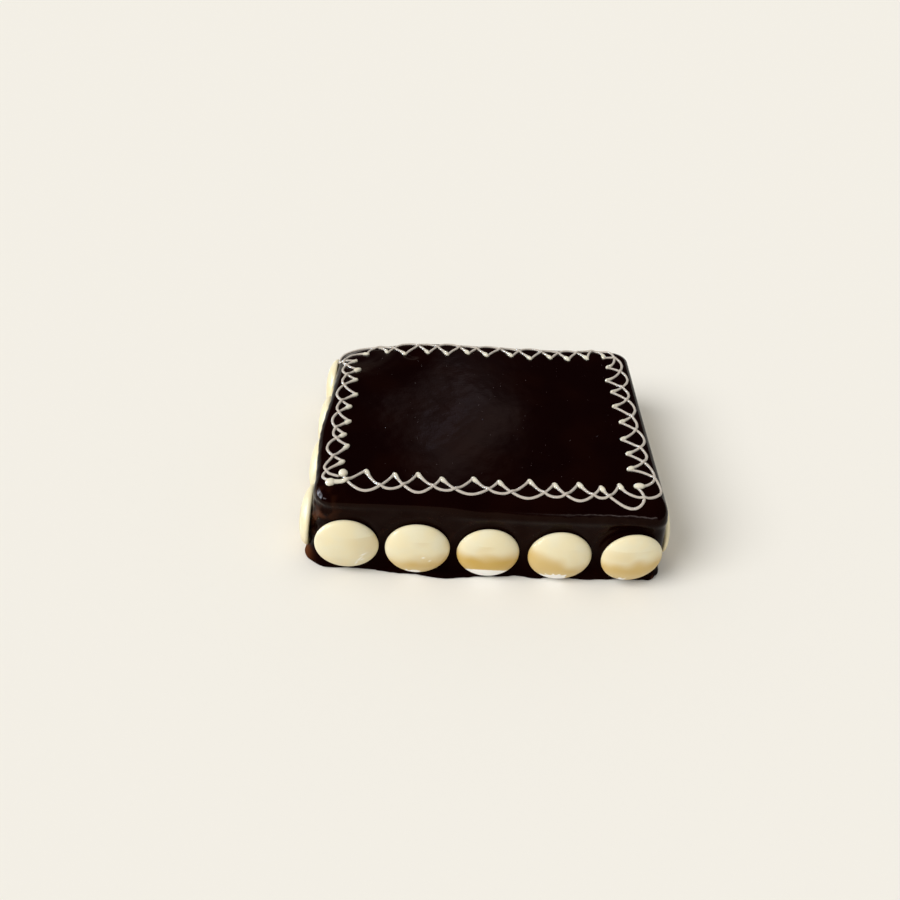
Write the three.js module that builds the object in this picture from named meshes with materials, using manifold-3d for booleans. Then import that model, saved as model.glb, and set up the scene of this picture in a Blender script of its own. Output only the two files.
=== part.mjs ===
// A rectangular chocolate torte: one glazed cake, two crossing strands of piped icing round
// the edge of its top, and eighteen white chocolate buttons that stand against its sides.
//
// Frame: millimetres, +Z up, origin on the resting plane under the middle of the cake,
// +X along the longer side, the front of the cake towards -Y.

import * as THREE from 'three';
import { mergeVertices } from 'three/addons/utils/BufferGeometryUtils.js';
import Module from 'manifold-3d';

// ---- The cake under its glaze -------------------------------------------------------------
const CAKE_WIDTH = 180; // along X, at the foot
const CAKE_DEPTH = 144; // along Y, at the foot
const CAKE_HEIGHT = 47.3; // from the resting plane to the flat of the top
const SIDE_LEAN = 3.8; // how far the sides lean in between the foot and the shoulder
const SHOULDER = 8.1; // radius of the soft edge between the sides and the top
const CORNER = { left: 10.8, right: 7 }; // radii of the upright corners on those two sides
const FOOT_HEIGHT = 1.5; // the glaze turns under by FOOT_TUCK below this height
const FOOT_TUCK = 1;

// ---- Its unevenness -----------------------------------------------------------------------
const TOP_FALL = 0.4; // the top is this much lower on the right than on the left
const TOP_RISE = 1; // and this much higher at the back than at the front
const SAG = { x: -84, y: 73, reach: 31, depth: 8 }; // the drooping back left corner
const SWELL = { y: -18, reach: 22, out: 2.3 }; // thick glaze along the left edge
const RIPPLE = 0.45; // height of the long, low waves in the top
const LEVEL_TO = 28; // below this height nothing droops or waves
const STRAIGHT_TO = 36; // below this height nothing swells

// ---- The piped icing ----------------------------------------------------------------------
const STRAND_WIDTH = 2.1; // at its foot
const STRAND_HEIGHT = 1.3; // of the part that stands above the glaze
const STRAND_SINK = 0.5; // of the part below it
const STRAND_CREST = 0.25; // half the width of its crest, as a share of the strand's width
// Two strands cross all the way round. Each runs in arcs between points that look inwards, and
// the points of the two take turns. A point is given by its place along its side, counted from
// the middle of that side and anticlockwise round the cake, because they are unevenly spaced.
const POINTS_ALONG = [
  [-61.2, -47.5, -36.3, -24.8, -9.3, 3.2, 18.2, 30.2, 42.2, 53, 62.2], // front
  [-52, -40.5, -28.5, -17, -2.5, 11, 24, 34.5, 47, 56], // right
  [-60, -48.5, -38, -26, -15, -0.5, 10.5, 22.8, 34, 47.5, 58, 69], // back
  [-45.5, -34.5, -23.3, -9.5, 1.2, 13.5, 24, 32.3, 44], // left
];
// Insets from the foot's outline on the four sides, of the strand that lies further out.
const POINT_INSETS = [19.1, 19.3, 18.5, 16.8];
const ARC_INSETS = [8.9, 9, 9, 7.6]; // of the arcs between the points
const STRAND_APART = 1.5; // the other strand lies this much further in
const SLIDE = 5; // how far the icing has slid towards the drooping corner
const CORNER_REACH = 2.6; // arcs round a corner reach this much further out
const CORNER_NEAR = 8; // a point turns towards a corner when it comes this close to it
const UNEVEN = 1.2; // how far a point strays from its inset; an arc strays half as far
const ARC_STEPS = 6; // straight pieces in one arc
const ARC_FULLNESS = 0.8; // under 1 the arcs are fuller than a sine
const CORNER_FULLNESS = 0.65; // the same for the arcs round a corner
const TURN_EARLY = 0.6; // under 1 such an arc turns early in its course
const DROP_RADIUS = 1.6; // the drop of icing left at each point
const DROP_LENGTH = 2.4;
const START_BALL = { at: new THREE.Vector2(-72.2, -52.6), radius: 2.1 }; // of the outer strand
const START_BAR = { at: new THREE.Vector2(-77.6, -58.6), radius: 2.2 }; // of the inner strand
// Where the inner strand runs from its bar to its first point, and where the strands end.
const START_RUN = [new THREE.Vector2(-71.5, -58.3), new THREE.Vector2(-67.6, -55.4)];
const OUTER_END = [
  new THREE.Vector2(-79.5, -49.5),
  new THREE.Vector2(-82.3, -53.6),
  new THREE.Vector2(-80.5, -56.6),
  new THREE.Vector2(-77, -57),
];
const INNER_END = [
  new THREE.Vector2(-78.8, -41.4),
  new THREE.Vector2(-82.2, -47.6),
  new THREE.Vector2(-79.6, -52.8),
  new THREE.Vector2(-73.5, -54.8),
];

// ---- The white chocolate buttons ----------------------------------------------------------
const BUTTON_RADIUS = 15.5;
const BUTTON_RIM = 2.7; // thickness of the upright rim
const BUTTON_CROWN = 6; // thickness in the middle
const BUTTON_PITCH = 35.2;
const BUTTON_HEIGHT = 16.6; // of a button's middle above the resting plane
const BUTTON_GAP = 0.4; // between a button's flat back and the glaze
const BUTTON_SIDES = 16;

// Each row: its name, the direction it faces (turn about Z from the front), the distance from
// the middle of the cake to the side at the foot, the thickness of its buttons against the
// standard, and the buttons from left to right as seen by someone facing them: shift along the
// side, lift, width and height against the standard, and turn about Z away from its side.
const BUTTON_ROWS = [
  {
    name: 'front',
    turn: 0,
    reach: CAKE_DEPTH / 2,
    thick: 1,
    buttons: [
      { shift: 0.9, lift: 1.6, wide: 1.02, tall: 0.94, turned: 0 },
      { shift: 0.4, lift: 0.4, wide: 1.03, tall: 0.98, turned: 0 },
      { shift: 0.1, lift: -0.4, wide: 0.99, tall: 0.97, turned: 0 },
      { shift: 0.4, lift: -0.4, wide: 1.01, tall: 0.97, turned: 0 },
      { shift: 0.1, lift: 2.3, wide: 0.99, tall: 0.94, turned: 0.11 },
    ],
  },
  {
    name: 'right',
    turn: Math.PI / 2,
    reach: CAKE_WIDTH / 2,
    thick: 0.8,
    buttons: [
      { shift: 4.5, lift: 2.2, wide: 1, tall: 0.97, turned: 0 },
      { shift: 2.7, lift: 1.6, wide: 1.01, tall: 0.98, turned: 0 },
      { shift: 1.4, lift: 0.8, wide: 1, tall: 0.98, turned: 0 },
      { shift: -0.5, lift: 0.5, wide: 1.01, tall: 0.96, turned: 0 },
    ],
  },
  {
    name: 'back',
    turn: Math.PI,
    reach: CAKE_DEPTH / 2,
    thick: 1,
    buttons: [
      { shift: 0.6, lift: 0.3, wide: 1, tall: 0.97, turned: 0 },
      { shift: 0.2, lift: -0.3, wide: 1.02, tall: 0.97, turned: 0 },
      { shift: -0.3, lift: 0.6, wide: 1, tall: 0.98, turned: 0 },
      { shift: 0.1, lift: 0, wide: 1.01, tall: 0.96, turned: 0 },
      { shift: -0.6, lift: 0.8, wide: 1, tall: 0.97, turned: 0 },
    ],
  },
  {
    name: 'left',
    turn: -Math.PI / 2,
    reach: CAKE_WIDTH / 2,
    thick: 1,
    buttons: [
      { shift: -0.8, lift: 4.1, wide: 1.01, tall: 0.98, turned: 0 },
      { shift: -0.9, lift: 3.1, wide: 1, tall: 0.98, turned: 0 },
      { shift: -0.4, lift: 2, wide: 1.01, tall: 0.97, turned: 0 },
      { shift: -0.5, lift: 1, wide: 1.01, tall: 0.97, turned: 0 },
    ],
  },
];

// ---- Materials ----------------------------------------------------------------------------
const glazeMaterial = new THREE.MeshStandardMaterial({ color: 0x1a0a07, roughness: 0.12, metalness: 0 });
const buttonMaterial = new THREE.MeshStandardMaterial({ color: 0xf0e4bb, roughness: 0.45, metalness: 0 });

const wasm = await Module();
wasm.setup();

// ---- Form of the glaze --------------------------------------------------------------------

const { smoothstep, clamp, lerp } = THREE.MathUtils;

/** How far the thick glaze pushes the top edge outwards, along X. */
function swell(x, y) {
  const along = Math.exp(-(((y - SWELL.y) / SWELL.reach) ** 2));
  return -SWELL.out * along * (1 - smoothstep(x, -85, -60));
}

/** How near a place is to the drooping corner, between 0 and 1. */
function sagShare(x, y) {
  return Math.exp(-((Math.hypot(x - SAG.x, y - SAG.y) / SAG.reach) ** 2));
}

/** How far a place at that height of an even cake is raised or lowered. */
function relief(x, y, z) {
  const level = (-TOP_FALL * x) / CAKE_WIDTH + (TOP_RISE * y) / CAKE_DEPTH;
  const waves = Math.sin(x / 17 + 0.6) * Math.cos(y / 23 - 0.4);
  const upper = smoothstep(z, LEVEL_TO, CAKE_HEIGHT);
  return (level - SAG.depth * sagShare(x, y) + RIPPLE * waves) * upper;
}

/** Radius of the upright corner nearest to a place. */
function cornerAt(x) {
  return x < 0 ? CORNER.left : CORNER.right;
}

/** Distance from the foot's outline in to a place, measured over nested rounded rectangles. */
function insetAt(x, y) {
  const radius = cornerAt(x);
  const qx = Math.abs(x) - CAKE_WIDTH / 2 + radius;
  const qy = Math.abs(y) - CAKE_DEPTH / 2 + radius;
  const straight = radius - Math.max(qx, qy);
  if (Math.min(qx, qy) + straight <= 0) {
    return straight;
  }
  const sum = qx + qy;
  return (Math.sqrt(sum ** 2 - 2 * (qx ** 2 + qy ** 2 - radius ** 2)) - sum) / 2;
}

/** Height of the glaze over a place on the shoulder or the top. */
function glazeHeight(x, y) {
  const inset = insetAt(x - swell(x, y), y) - SIDE_LEAN;
  const across = clamp(1 - inset / SHOULDER, 0, 1);
  const even = CAKE_HEIGHT - SHOULDER * (1 - Math.sqrt(1 - across ** 2));
  return even + relief(x, y, even);
}

/** How far the side leans in at a height. */
function sideInset(z) {
  return (SIDE_LEAN * (z - FOOT_HEIGHT)) / (CAKE_HEIGHT - SHOULDER - FOOT_HEIGHT);
}

/** One closed ring round the cake: a rounded rectangle inset from the foot's outline. */
function ringOutline(inset) {
  const corners = [
    { x: 1, y: -1, from: -Math.PI / 2, steps: 8 },
    { x: 1, y: 1, from: 0, steps: 10 },
    { x: -1, y: 1, from: Math.PI / 2, steps: 8 },
    { x: -1, y: -1, from: Math.PI, steps: 10 },
  ];
  const onCorner = ({ x, y }, angle) => {
    const radius = cornerAt(x);
    return new THREE.Vector2(
      x * (CAKE_WIDTH / 2 - inset - radius) + radius * Math.cos(angle),
      y * (CAKE_DEPTH / 2 - inset - radius) + radius * Math.sin(angle),
    );
  };
  const arcSteps = 4;
  const points = [];
  corners.forEach((corner, index) => {
    for (let i = 0; i <= arcSteps; i += 1) {
      points.push(onCorner(corner, corner.from + (i / arcSteps) * (Math.PI / 2)));
    }
    const start = points.at(-1);
    const next = corners[(index + 1) % corners.length];
    const end = onCorner(next, next.from);
    for (let i = 1; i < corner.steps; i += 1) {
      points.push(start.clone().lerp(end, i / corner.steps));
    }
  });
  return points;
}

/** Rings from the resting plane up the side, over the shoulder and in over the top. */
function glazeRings() {
  const shoulderFoot = CAKE_HEIGHT - SHOULDER;
  const rings = [
    { inset: FOOT_TUCK, z: 0 },
    { inset: 0, z: FOOT_HEIGHT },
  ];
  for (const z of [(FOOT_HEIGHT + STRAIGHT_TO) / 2, STRAIGHT_TO, shoulderFoot]) {
    rings.push({ inset: sideInset(z), z });
  }
  const shoulderSteps = 4;
  for (let i = 1; i <= shoulderSteps; i += 1) {
    const angle = (i / shoulderSteps) * (Math.PI / 2);
    rings.push({
      inset: SIDE_LEAN + SHOULDER * (1 - Math.cos(angle)),
      z: shoulderFoot + SHOULDER * Math.sin(angle),
    });
  }
  for (const inset of [24, 46]) {
    rings.push({ inset, z: CAKE_HEIGHT });
  }
  return rings;
}

/** The glazed cake as one closed mesh, its upper part uneven. */
function glazeGeometry() {
  const positions = [];
  const indices = [];
  const place = (x, y, z) => {
    const swollen = smoothstep(z, STRAIGHT_TO, CAKE_HEIGHT - SHOULDER * 0.6);
    positions.push(x + swell(x, y) * swollen, y, z + relief(x, y, z));
  };
  const rings = glazeRings().map((ring) => ({ z: ring.z, outline: ringOutline(ring.inset) }));
  const count = rings[0].outline.length;
  for (const ring of rings) {
    ring.outline.forEach((point) => place(point.x, point.y, ring.z));
  }
  for (let r = 0; r + 1 < rings.length; r += 1) {
    for (let i = 0; i < count; i += 1) {
      const j = (i + 1) % count;
      const [a, b] = [r * count + i, r * count + j];
      indices.push(a, b, b + count, a, b + count, a + count);
    }
  }
  const under = rings.length * count;
  const over = under + 1;
  const lastRing = (rings.length - 1) * count;
  place(0, 0, 0);
  place(0, 0, CAKE_HEIGHT);
  for (let i = 0; i < count; i += 1) {
    const j = (i + 1) % count;
    indices.push(j, i, under);
    indices.push(lastRing + i, lastRing + j, over);
  }
  const geometry = new THREE.BufferGeometry();
  geometry.setAttribute('position', new THREE.Float32BufferAttribute(positions, 3));
  geometry.setIndex(indices);
  return geometry;
}

// ---- Piped icing --------------------------------------------------------------------------

/** A steady stray between -1 and 1 for the point or arc numbered k. */
function stray(k, seed) {
  return Math.sin(k * 2.8 + seed) * Math.cos(k * 2.4 - seed);
}

const pointPlaces = POINTS_ALONG.flatMap((places, side) => places.map((along) => ({ side, along })));

/** The point numbered k from 1: its place, its side and the direction in which it looks out. */
function pointAt(k) {
  const { side, along } = pointPlaces[k - 1];
  const lengthways = side % 2 === 0;
  const inset = POINT_INSETS[side] + (k % 2) * STRAND_APART - UNEVEN * stray(k, 2.25);
  const turn = (side * Math.PI) / 2;
  const middle = new THREE.Vector2();
  const placeAt = (far) => new THREE.Vector2(along, -far).rotateAround(middle, turn);
  const level = (lengthways ? CAKE_DEPTH : CAKE_WIDTH) / 2 - inset;
  const out = level + SLIDE * sagShare(placeAt(level).x, placeAt(level).y);
  const toCorner = (lengthways ? CAKE_WIDTH : CAKE_DEPTH) / 2 - Math.abs(along) - inset;
  const cornered = clamp(1 - toCorner / CORNER_NEAR, 0, 1) / 2;
  return {
    at: placeAt(out),
    side,
    facing: turn + (Math.sign(along) * cornered * Math.PI) / 2 - Math.PI / 2,
  };
}

/** How far a place lies from the ring of that inset, in a direction. */
function reachTo(inset, place, direction) {
  let [near, far] = [0, CAKE_WIDTH];
  const halvings = 24;
  for (let i = 0; i < halvings; i += 1) {
    const middle = (near + far) / 2;
    const tried = place.clone().addScaledVector(direction, middle);
    if (insetAt(tried.x, tried.y) > inset) {
      near = middle;
    } else {
      far = middle;
    }
  }
  return near;
}

/** The middle line of the arc between two points, numbered by its first one. */
function arcPath(k, from, to) {
  const roundCorner = to.side !== from.side;
  const insets = [ARC_INSETS[from.side], ARC_INSETS[to.side]];
  const apart = (k % 2) * STRAND_APART - (roundCorner ? CORNER_REACH : 0);
  const fullness = roundCorner ? CORNER_FULLNESS : ARC_FULLNESS;
  const inset = (insets[0] + insets[1]) / 2 + apart + 0.5 * UNEVEN * stray(k, 3);
  const facingAt = (share) => {
    const angle = lerp(from.facing, to.facing, share ** TURN_EARLY);
    return new THREE.Vector2(Math.cos(angle), Math.sin(angle));
  };
  const depth = reachTo(inset, from.at.clone().lerp(to.at, 0.5), facingAt(0.5));
  const points = [];
  for (let i = 0; i <= ARC_STEPS; i += 1) {
    const t = i / ARC_STEPS;
    const w = 0.5 - 0.5 * Math.cos(Math.PI * t) * (1 - 0.2 * Math.sin(Math.PI * t));
    const bump = Math.sin(Math.PI * w) ** fullness;
    const point = from.at.clone().lerp(to.at, w);
    points.push(point.addScaledVector(facingAt(w), depth * bump));
  }
  return points;
}

/**
 * A strand of icing that lies on the glaze along a line. Its section has a sunk foot and a
 * narrower crest. The section's first axis points down, because the line lies nearly level.
 */
function strandGeometry(points, width) {
  const path = new THREE.CatmullRomCurve3(
    points.map((p) => new THREE.Vector3(p.x, p.y, glazeHeight(p.x, p.y))),
  );
  const section = new THREE.Shape([
    new THREE.Vector2(STRAND_SINK, -width / 2),
    new THREE.Vector2(STRAND_SINK, width / 2),
    new THREE.Vector2(-STRAND_HEIGHT, width * STRAND_CREST),
    new THREE.Vector2(-STRAND_HEIGHT, -width * STRAND_CREST),
  ]);
  const options = { steps: points.length - 1, extrudePath: path, bevelEnabled: false };
  return new THREE.ExtrudeGeometry(section, options);
}

/** A drop of icing, longer along its direction. */
function dropGeometry(at, direction, radius, length) {
  const drop = new THREE.SphereGeometry(1, 5, 3);
  drop.rotateX(Math.PI / 2);
  drop.scale(length, radius, STRAND_HEIGHT * 1.15);
  drop.rotateZ(Math.atan2(direction.y, direction.x));
  drop.translate(at.x, at.y, glazeHeight(at.x, at.y));
  return drop;
}

/** All of the icing as closed meshes, each sunk a little into the glaze. */
function pipingGeometries() {
  const last = pointPlaces.length;
  const start = { ...pointAt(1), at: START_BALL.at };
  const pieces = [];
  for (let k = 0; k + 2 <= last; k += 1) {
    const points = arcPath(k, k === 0 ? start : pointAt(k), pointAt(k + 2));
    pieces.push(strandGeometry(points, STRAND_WIDTH));
    if (k > 0) {
      const lead = points[2].clone().sub(points[0]).normalize();
      const middle = points[0].clone().addScaledVector(lead, DROP_LENGTH * 0.5);
      pieces.push(dropGeometry(middle, lead, DROP_RADIUS, DROP_LENGTH));
    }
  }
  const sideways = new THREE.Vector2(1, 0);
  pieces.push(dropGeometry(START_BALL.at, sideways, START_BALL.radius, START_BALL.radius));
  pieces.push(dropGeometry(START_BAR.at, sideways, START_BAR.radius * 0.8, START_BAR.radius));
  pieces.push(strandGeometry([START_BAR.at, ...START_RUN, pointAt(1).at], STRAND_WIDTH * 1.3));
  pieces.push(strandGeometry([pointAt(last).at, ...OUTER_END], STRAND_WIDTH));
  pieces.push(strandGeometry([pointAt(last - 1).at, ...INNER_END], STRAND_WIDTH));
  return pieces;
}

// ---- Joining ------------------------------------------------------------------------------

/** A three.js geometry as a solid, its shared vertices merged. */
function toSolid(geometry) {
  const bare = geometry.clone();
  bare.deleteAttribute('normal');
  bare.deleteAttribute('uv');
  const merged = mergeVertices(bare, 1e-4);
  return new wasm.Manifold(
    new wasm.Mesh({
      numProp: 3,
      vertProperties: new Float32Array(merged.attributes.position.array),
      triVerts: new Uint32Array(merged.index.array),
    }),
  );
}

/** A solid as a three.js geometry. */
function toGeometry(solid) {
  const mesh = solid.getMesh();
  const geometry = new THREE.BufferGeometry();
  geometry.setAttribute('position', new THREE.BufferAttribute(mesh.vertProperties, 3));
  geometry.setIndex(new THREE.BufferAttribute(mesh.triVerts, 1));
  geometry.computeVertexNormals();
  return geometry;
}

/** The glazed cake with its icing: one solid, because thin piping clings to the glaze. */
function glazedCake() {
  let solid = toSolid(glazeGeometry());
  for (const piece of pipingGeometries()) {
    solid = solid.add(toSolid(piece));
  }
  const mesh = new THREE.Mesh(toGeometry(solid), glazeMaterial);
  mesh.name = 'glazed_cake';
  return mesh;
}

// ---- Buttons ------------------------------------------------------------------------------

/** A button lying on its flat back, its crown along +Y. */
function buttonGeometry() {
  const r = BUTTON_RADIUS;
  const profile = [
    new THREE.Vector2(0, 0),
    new THREE.Vector2(r - 0.8, 0),
    new THREE.Vector2(r, 1),
    new THREE.Vector2(r - 0.6, BUTTON_RIM - 0.2),
  ];
  for (const part of [0.8, 0.45]) {
    const crown = BUTTON_CROWN - (BUTTON_CROWN - BUTTON_RIM) * part ** 2.2;
    profile.push(new THREE.Vector2(r * part, crown));
  }
  profile.push(new THREE.Vector2(0, BUTTON_CROWN));
  return new THREE.LatheGeometry(profile, BUTTON_SIDES);
}

/** One row of buttons, built facing -Y and then turned to its side of the cake. */
function buttonRow(row) {
  const lean = Math.atan2(SIDE_LEAN, CAKE_HEIGHT - SHOULDER - FOOT_HEIGHT);
  const group = new THREE.Group();
  row.buttons.forEach((button, i) => {
    const mesh = new THREE.Mesh(buttonGeometry(), buttonMaterial);
    mesh.name = `button_${row.name}_${i + 1}`;
    const z = BUTTON_HEIGHT + button.lift;
    const x = (i - (row.buttons.length - 1) / 2) * BUTTON_PITCH + button.shift;
    const gap = BUTTON_GAP + BUTTON_RADIUS * Math.sin(Math.abs(button.turned));
    mesh.position.set(x, sideInset(z) - row.reach - gap, z);
    mesh.rotation.order = 'ZYX';
    mesh.rotation.set(Math.PI - lean, 0, button.turned);
    mesh.scale.set(button.wide, row.thick, button.tall);
    group.add(mesh);
  });
  group.rotation.z = row.turn;
  return group;
}

const torte = new THREE.Group();
torte.name = 'torte';
torte.add(glazedCake());
for (const row of BUTTON_ROWS) {
  torte.add(buttonRow(row));
}

export default torte;
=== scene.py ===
"""The looks of a rectangular chocolate torte: mirror glaze, piped icing, white chocolate buttons.

Lengths are millimetres, and become metres where a mesh is made. +X runs along the longer side,
+Z is up, and the front of the cake looks towards -Y.
"""

import math
import random

import bmesh
import bpy
import numpy as np
from mathutils import Matrix, Vector, noise


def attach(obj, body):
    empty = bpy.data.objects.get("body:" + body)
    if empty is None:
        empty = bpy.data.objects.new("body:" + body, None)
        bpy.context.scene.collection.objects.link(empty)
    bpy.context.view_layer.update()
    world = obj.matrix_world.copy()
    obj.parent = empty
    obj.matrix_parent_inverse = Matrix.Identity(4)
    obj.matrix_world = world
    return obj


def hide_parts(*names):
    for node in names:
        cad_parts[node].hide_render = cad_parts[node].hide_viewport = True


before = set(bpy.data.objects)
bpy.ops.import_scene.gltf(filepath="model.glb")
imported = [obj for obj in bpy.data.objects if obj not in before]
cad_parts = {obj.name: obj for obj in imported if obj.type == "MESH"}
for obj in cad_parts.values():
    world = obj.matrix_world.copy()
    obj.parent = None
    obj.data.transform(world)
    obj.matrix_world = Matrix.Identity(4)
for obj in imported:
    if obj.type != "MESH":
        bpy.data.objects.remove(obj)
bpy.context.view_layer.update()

MM = 0.001
BODY = "root"

# ---- The camera, its angles in degrees -----------------------------------------------------
CAMERA_PLACE = (-33.43, -330.52, 308.18)
CAMERA_DOWN, CAMERA_RIGHT, CAMERA_ROLL = 41.11, 2.44, 4.32
SENSOR_WIDTH, FOCAL_LENGTH = 36, 31.464

# ---- The cake under its glaze (the same driving sizes as the solids) -----------------------
CAKE_WIDTH = 180
CAKE_DEPTH = 144
CAKE_HEIGHT = 47.3
SIDE_LEAN = 3.8
SHOULDER = 8.1
CORNER_LEFT, CORNER_RIGHT = 10.8, 7
FOOT_HEIGHT = 1.5
FOOT_TUCK = 1
TOP_FALL = 0.4  # towards the right
TOP_RISE = 1  # towards the back
SAG_X, SAG_Y, SAG_REACH, SAG_DEPTH = -84, 73, 31, 8
SWELL_Y, SWELL_REACH, SWELL_OUT = -18, 22, 2.3
RIPPLE = 0.45
LEVEL_TO = 28  # height up to which the glaze has no relief but the fine one
STRAIGHT_TO = 36  # height up to which the left side has no swelling
LEAN_ANGLE = math.atan2(SIDE_LEAN, CAKE_HEIGHT - SHOULDER - FOOT_HEIGHT)

# ---- Fine relief of the glaze --------------------------------------------------------------
# Spots: middle and reach along X, then along Y.
LUMPY_CORNER = (-86, 7, -67, 8)
FOOT_POOL = (-90, 5, -62, 6)
DIMPLE = (-43, 4, 51, 3)
# Spots where the glaze is painted brown.
BROWN_CORNER = (-86, 8, -69, 7)
BROWN_POOL = (-91, 4, -62, 8)
BROWN_FOOT = (84, 4, -71, 5)
TOP_FROM, TOP_FULL = 43, 46.5  # heights between which the relief of the top sets in
FRONT_FROM, FRONT_FULL = 62, 67  # how far forward the relief of the front sets in
BROW_HEIGHT, BROW_REACH, BROW_OUT, BROW_IN = 37.8, 2.6, 0.78, 0.5
BEAD_HEIGHT, BEAD_REACH = 2.2, 1.7
DIMPLE_DEPTH = 0.8
POOL_WIDTH = 2.2
RIGHT_TUCK = 1.2
# Thin glaze that has run out over the foot of the front: middle along X, reach along X and width.
RUN_OUTS = [(-47, 9, 1.6), (-21, 17, 4.2), (5, 12, 1.2), (25.6, 7, 1.8), (50, 13, 1.2)]
# How the glaze meets a button: the gap to its back, then rings as shares of its half sizes.
PAD_GAP = 0.05
PAD_FULL, PAD_END = 0.72, 0.99
MOAT_RING, RIM_RING, RING_REACH = 1.08, 1.22, 0.07
# How far a button's moat is shifted across and up, as shares of its half sizes, and its depth.
PLAIN_MOAT = (0, 0.03, 0.06)
MOATS = {
    "button_front_1": (-0.05, 0.06, 0.12),
    "button_front_3": (-0.08, 0.1, 0.12),
    "button_front_5": (-0.1, 0.1, 0.14),
}

# ---- The piped icing -----------------------------------------------------------------------
# Places of the inner points along the front, right, back and left side.
POINTS_ALONG = [
    [-61.2, -47.5, -36.3, -24.8, -9.3, 3.2, 18.2, 30.2, 42.2, 53, 62.2],
    [-52, -40.5, -28.5, -17, -2.5, 11, 24, 34.5, 47, 56],
    [-60, -48.5, -38, -26, -15, -0.5, 10.5, 22.8, 34, 47.5, 58, 69],
    [-45.5, -34.5, -23.3, -9.5, 1.2, 13.5, 24, 32.3, 44],
]
POINT_PLACES = [(side, along) for side, places in enumerate(POINTS_ALONG) for along in places]
POINT_INSETS = [19.1, 19.3, 18.5, 16.8]
ARC_INSETS = [8.9, 9, 9, 7.6]
TIP_ROUNDING = 0.6  # how far the tips reach in to make up for their rounding
STRAND_APART = 1.5  # how much further in the points and arcs with odd numbers lie
SLIDE = 5  # how far the points slide out in the drooping corner
CORNER_REACH = 2.6  # how much further out an arc goes round a corner
CORNER_NEAR = 8  # distance from a corner's diagonal within which a point turns to it
UNEVEN = 1.2  # how far the points stray in and out, and the arcs half as far
ARC_FULLNESS, CORNER_FULLNESS, TURN_EARLY = 0.8, 0.65, 0.6
ARC_STEPS = 48
START_BALL, BALL_RADIUS = (-72.2, -52.6), 2.3
START_BAR, BAR_RADIUS = (-77.6, -58.6), 2.1
# The drop that each strand starts with: place, direction, length and radius.
START_DROPS = [
    (START_BALL, (1, 0.2), BALL_RADIUS, BALL_RADIUS),
    (START_BAR, (1, 0.1), BAR_RADIUS * 1.2, BAR_RADIUS),
]
START_RUN = [(-71.5, -58.3), (-67.6, -55.4)]
OUTER_END = [(-79.5, -49.5), (-82.3, -53.6), (-80.5, -56.6), (-77, -57)]
INNER_END = [(-78.8, -41.4), (-82.2, -47.6), (-79.6, -52.8), (-73.5, -54.8)]
SPACING = 0.3  # of the points along a strand
SOFTEN_REACH = 1.8
STRAND_RADIUS = 0.7
STRAND_SIDES = 12
# A strand's section in shares of its radius: half height, how far it is raised, and its underside.
SECTION_TALL, SECTION_RAISED, SECTION_UNDERSIDE = 0.85, 0.3, -0.45
POINT_EXTRA, EXTRA_BEFORE, EXTRA_AFTER = 0.5, 1, 4  # a strand is thicker round its points
START_EXTRA, START_FROM, START_TO = 0.55, 4, 13  # the second strand starts thick
CROSSING_LIFT, CROSSING_REACH = 0.8, 1.6
DROP_RADIUS = 1.25
DROP_LEAD = 1.3  # how far past its point, along the strand, a drop lies
DROP_LENGTH = 1.6  # in shares of its radius
DROP_SIDES, DROP_ROWS = 16, 9
BIG_DROPS = {12: 1.8, 13: 1.45, 22: 1.4, 23: 1.5, 35: 1.6}  # radii of the drops at these points

# ---- The white chocolate buttons -----------------------------------------------------------
BUTTON_CROWN = 6
BUTTON_BELLY = 1  # height of the widest place above the flat back
FACINGS = {
    "front": Vector((0, -1, 0)),
    "right": Vector((1, 0, 0)),
    "back": Vector((0, 1, 0)),
    "left": Vector((-1, 0, 0)),
}
BUTTON_NAMES = sorted(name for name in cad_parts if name.startswith("button_"))
TURNED = {"button_front_5": 0.11}  # turn about Z away from its side
# Steps from the crown to the widest place, and points in a ring.
FRONT_MESH, OTHER_MESH = (70, 144), (26, 72)
SHARE_SIZE = 15  # about how many millimetres a button's half sizes are
# Painted warm shade on a button's lower part: height where it sets in, as a share of its half
# height, its slope to the right, and its strength.
PAINTED_WARM_SHADE = {
    "button_front_1": (-0.5, 0, 0.25),
    "button_front_2": (-0.2, 0.1, 0.9),
    "button_front_3": (0.17, 0, 1),
    "button_front_4": (0.02, -0.35, 0.8),
    "button_front_5": (0.08, 0.1, 0.85),
}
# Painted highlight on a button's foot: height, as seen from the camera, below which it is white,
# as a share of its half height, and the middle and half width of that patch.
PAINTED_FOOT_HIGHLIGHTS = {
    "button_front_2": (-1.01, -0.1, 0.25),
    "button_front_3": (-0.81, -0.03, 0.9),
    "button_front_4": (-0.89, -0.16, 0.42),
    "button_front_5": (-0.98, -0.45, 0.3),
}
NO_FOOT_HIGHLIGHT = (-2, 0, 0)
FOOT_SIGHT = 0.058  # how much lower a place looks for each millimetre that it stands out
# Small scratches and drips on the buttons, painted white as glints: middle, direction and half
# length.
SCRATCH_GLINTS = {
    "button_front_1": [
        ((0.42, -0.42), (0.6, 0.8), 0.16),
        ((0.54, -0.2), (0.9, 0.5), 0.12),
        ((0.32, -0.62), (0.3, 0.9), 0.1),
        ((0.5, -0.45), (0.8, 0.6), 0.08),
    ],
    "button_front_2": [
        ((0.2, -0.1), (1.0, 0.2), 0.05),
        ((0.4, -0.25), (0.7, 0.6), 0.04),
    ],
}
SCRATCH_WIDTH = 0.026

# ---- The specks in the top -----------------------------------------------------------------
SPECK_COUNT = 110
SPECK_SIDES = 6
SPECKS_X, SPECKS_Y = (-66, 68), (-50, 50)

# ---- The light -----------------------------------------------------------------------------
STUDIO_COLOUR, STUDIO_STRENGTH = (1.0, 0.98, 0.94), 0.5
ROOM_HIGH, ROOM_LOW = (0.03, 0.018, 0.02), (0.07, 0.045, 0.04)  # colours of the mirrored room
KEY_FROM, KEY_STRENGTH, KEY_SPREAD = (-0.75, -0.33, 0.75), 2.4, 35
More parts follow.
